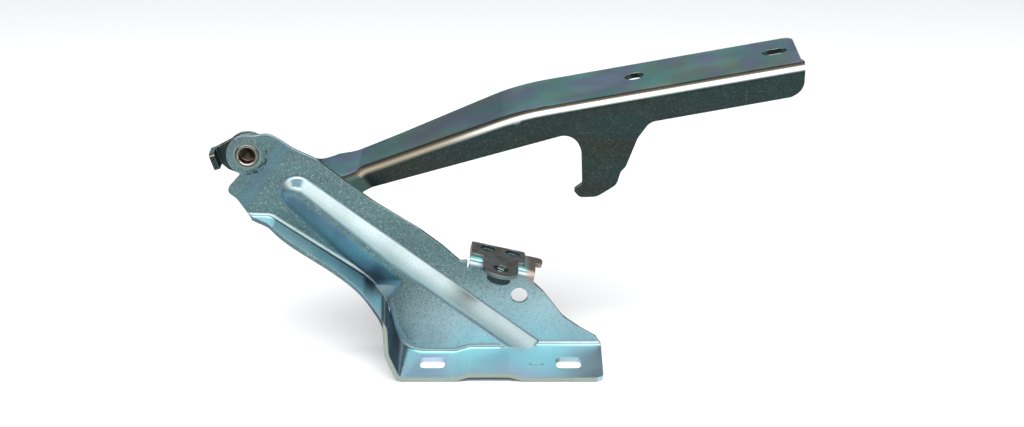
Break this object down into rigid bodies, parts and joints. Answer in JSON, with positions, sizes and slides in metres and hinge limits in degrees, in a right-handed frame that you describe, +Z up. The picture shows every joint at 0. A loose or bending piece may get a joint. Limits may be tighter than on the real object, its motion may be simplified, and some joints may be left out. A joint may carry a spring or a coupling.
{
  "type": "hood hinge",
  "caption": "Pressed steel hood hinge: a stamped body bracket and a hood arm of angle section that swings on a riveted pivot, with an end stop and a weld nut plate.",
  "frame": {"origin": "midway between the two body slots, on the underside of the foot's two pads", "axes": "+Z up out of the foot, +X from the pivot end towards the arm's free end, +Y away from the flange, towards the arm's top flange"},
  "size_m": [0.3275, 0.1078, 0.1652],
  "materials": {
    "bracket_steel": "zinc plated and blue passivated pressed steel",
    "plate_steel": "zinc plated steel with a brown tinge",
    "rivet_steel": "zinc plated cold headed steel",
    "arm_steel": "zinc plated and blue passivated pressed steel",
    "bush_bronze": "sintered bronze, oiled"
  },
  "bodies": {
    "bracket": {"base_bracket": "bracket_steel", "nut_plate": "plate_steel", "weld_nut": "plate_steel", "pivot_rivet": "rivet_steel", "friction_washer": "rivet_steel"},
    "arm": {"hinge_arm": "arm_steel", "pivot_bush": "bush_bronze"}
  },
  "joints": [
    {"name": "arm_pivot", "type": "hinge", "parent": "bracket", "child": "arm", "pos_m": [-0.1395, 0.0317, 0.1165], "axis": [0, -1, 0], "range_deg": [-20, 36]}
  ]
}
